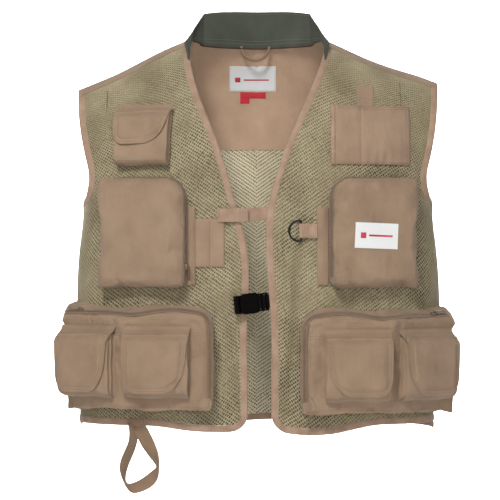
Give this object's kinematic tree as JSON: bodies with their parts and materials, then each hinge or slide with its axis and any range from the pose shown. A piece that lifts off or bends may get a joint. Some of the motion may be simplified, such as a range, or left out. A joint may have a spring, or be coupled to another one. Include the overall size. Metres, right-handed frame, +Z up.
{
  "type": "fishing vest",
  "caption": "Sleeveless mesh vest with a stand collar, zipped bags, flapped pouches, a buckled front and loops for clipping and hanging fishing gear.",
  "frame": {"origin": "middle of the neck seam, at the hang loop inside the back of the neck", "axes": "+X to the wearer's left, -Y to the front of the vest, +Z up"},
  "size_m": [0.5776, 0.2847, 0.701],
  "materials": {
    "mesh": "matte",
    "tan_cloth": "matte",
    "binding_tape": "matte",
    "collar_cloth": "matte",
    "tan_webbing": "matte",
    "black_webbing": "matte",
    "zipper_tape": "matte",
    "zipper_metal": "satin",
    "black_plastic": "gloss",
    "ring_plastic": "satin",
    "white_label": "matte",
    "red_label": "matte"
  },
  "bodies": {
    "vest": {"back_panel": "mesh", "back_yoke": "tan_cloth", "right_front_panel": "mesh", "right_shoulder_strip": "tan_cloth", "right_front_binding": "binding_tape", "right_armhole_binding": "binding_tape", "left_front_panel": "mesh", "left_shoulder_strip": "tan_cloth", "left_front_binding": "binding_tape", "left_armhole_binding": "binding_tape", "hem_binding": "binding_tape", "collar": "collar_cloth", "tool_pocket": "tan_cloth", "patch_pocket": "tan_cloth", "patch_tab": "tan_webbing", "rod_loop_tack": "tan_webbing", "neck_label": "white_label", "size_tag": "red_label", "right_chest_bag": "tan_cloth", "right_chest_zipper": "zipper_tape", "left_chest_bag": "tan_cloth", "left_chest_zipper": "zipper_tape", "pocket_label": "white_label", "chest_pouch": "tan_cloth", "right_lower_bag": "tan_cloth", "right_lower_zipper": "zipper_tape", "right_inner_pouch": "tan_cloth", "right_outer_pouch": "tan_cloth", "left_lower_bag": "tan_cloth", "left_lower_zipper": "zipper_tape", "left_inner_pouch": "tan_cloth", "left_outer_pouch": "tan_cloth", "sternum_strap_left": "tan_webbing", "ring_tab": "tan_webbing", "buckle_plug": "black_plastic", "buckle_webbing_left": "black_webbing"},
    "chest_flap": {"chest_flap": "tan_cloth"},
    "right_inner_flap": {"right_inner_flap": "tan_cloth"},
    "right_outer_flap": {"right_outer_flap": "tan_cloth"},
    "left_inner_flap": {"left_inner_flap": "tan_cloth"},
    "left_outer_flap": {"left_outer_flap": "tan_cloth"},
    "right_chest_slider": {"right_chest_slider": "zipper_metal"},
    "right_chest_pull": {"right_chest_pull": "zipper_metal"},
    "left_chest_slider": {"left_chest_slider": "zipper_metal"},
    "left_chest_pull": {"left_chest_pull": "zipper_metal"},
    "right_lower_slider": {"right_lower_slider": "zipper_metal"},
    "right_lower_pull": {"right_lower_pull": "zipper_metal"},
    "left_lower_slider": {"left_lower_slider": "zipper_metal"},
    "left_lower_pull": {"left_lower_pull": "zipper_metal"},
    "buckle_socket": {"buckle_socket": "black_plastic", "buckle_webbing_right": "black_webbing"},
    "buckle_prong_upper": {"buckle_prong_upper": "black_plastic"},
    "buckle_prong_lower": {"buckle_prong_lower": "black_plastic"},
    "d_ring": {"d_ring": "ring_plastic"},
    "sternum_strap_right": {"sternum_strap_right": "tan_webbing"},
    "hang_loop": {"hang_loop": "tan_webbing"},
    "rod_loop": {"rod_loop": "tan_webbing"}
  },
  "joints": [
    {"name": "chest_flap_lift", "type": "hinge", "parent": "vest", "child": "chest_flap", "pos_m": [-0.15822, -0.1605, -0.09866], "axis": [-0.9496, 0.3135, 0], "range_deg": [0, 120]},
    {"name": "right_inner_flap_lift", "type": "hinge", "parent": "vest", "child": "right_inner_flap", "pos_m": [-0.14061, -0.20955, -0.411], "axis": [-0.9933, 0.1155, 0], "range_deg": [0, 110]},
    {"name": "right_outer_flap_lift", "type": "hinge", "parent": "vest", "child": "right_outer_flap", "pos_m": [-0.23817, -0.17136, -0.411], "axis": [-0.8264, 0.5631, 0], "range_deg": [0, 110]},
    {"name": "left_inner_flap_lift", "type": "hinge", "parent": "vest", "child": "left_inner_flap", "pos_m": [0.14061, -0.20955, -0.416], "axis": [-0.9933, -0.1155, 0], "range_deg": [0, 110]},
    {"name": "left_outer_flap_lift", "type": "hinge", "parent": "vest", "child": "left_outer_flap", "pos_m": [0.23817, -0.17136, -0.416], "axis": [-0.8264, -0.5631, 0], "range_deg": [0, 110]},
    {"name": "right_chest_zip", "type": "slide", "parent": "vest", "child": "right_chest_slider", "axis": [0, 0, 1], "range_m": [0, 0.08]},
    {"name": "right_chest_pull_swing", "type": "hinge", "parent": "right_chest_slider", "child": "right_chest_pull", "pos_m": [-0.09528, -0.20045, -0.329], "axis": [-0.2823, -0.9593, 0], "range_deg": [0, 110]},
    {"name": "left_chest_zip", "type": "slide", "parent": "vest", "child": "left_chest_slider", "axis": [-0.9559, -0.2938, 0], "range_m": [0, 0.06]},
    {"name": "left_chest_pull_swing", "type": "hinge", "parent": "left_chest_slider", "child": "left_chest_pull", "pos_m": [0.19491, -0.17074, -0.1963], "axis": [0.2938, -0.9559, 0], "range_deg": [0, 110]},
    {"name": "right_lower_zip", "type": "slide", "parent": "vest", "child": "right_lower_slider", "axis": [0.8264, -0.5631, 0], "range_m": [0, 0.056]},
    {"name": "right_lower_pull_swing", "type": "hinge", "parent": "right_lower_slider", "child": "right_lower_pull", "pos_m": [-0.25263, -0.15352, -0.38686], "axis": [0.4971, 0.7297, 0.4695], "range_deg": [0, 70]},
    {"name": "left_lower_zip", "type": "slide", "parent": "vest", "child": "left_lower_slider", "axis": [-0.8264, -0.5631, 0], "range_m": [0, 0.056]},
    {"name": "left_lower_pull_swing", "type": "hinge", "parent": "left_lower_slider", "child": "left_lower_pull", "pos_m": [0.25263, -0.15352, -0.39186], "axis": [0.4971, -0.7297, -0.4695], "range_deg": [0, 70]},
    {"name": "buckle_part", "type": "slide", "parent": "vest", "child": "buckle_socket", "axis": [-0.9345, -0.3402, -0.1045], "range_m": [0, 0.026]},
    {"name": "buckle_upper_squeeze", "type": "hinge", "parent": "vest", "child": "buckle_prong_upper", "pos_m": [-0.00095, -0.18981, -0.37273], "axis": [0.342, -0.9397, 0], "range_deg": [0, 8], "stiffness_Nm_per_rad": 0.4},
    {"name": "buckle_lower_squeeze", "type": "hinge", "parent": "vest", "child": "buckle_prong_lower", "pos_m": [0.00032, -0.18934, -0.38566], "axis": [-0.342, 0.9397, 0], "range_deg": [0, 8], "stiffness_Nm_per_rad": 0.4},
    {"name": "d_ring_swing", "type": "hinge", "parent": "vest", "child": "d_ring", "pos_m": [0.06226, -0.18976, -0.278], "axis": [0, 0, 1], "range_deg": [0, 110]},
    {"name": "sternum_strap_open", "type": "hinge", "parent": "vest", "child": "sternum_strap_right", "pos_m": [-0.05561, -0.1907, -0.256], "axis": [0, 0, -1], "range_deg": [0, 150]},
    {"name": "hang_loop_swing", "type": "hinge", "parent": "vest", "child": "hang_loop", "pos_m": [-0.002, -0.0052, -0.0015], "axis": [-1, 0, 0], "range_deg": [0, 160]},
    {"name": "rod_loop_swing", "type": "hinge", "parent": "vest", "child": "rod_loop", "pos_m": [-0.168, -0.16787, -0.565], "axis": [0.9703, -0.2419, 0], "range_deg": [-35, 35]}
  ]
}
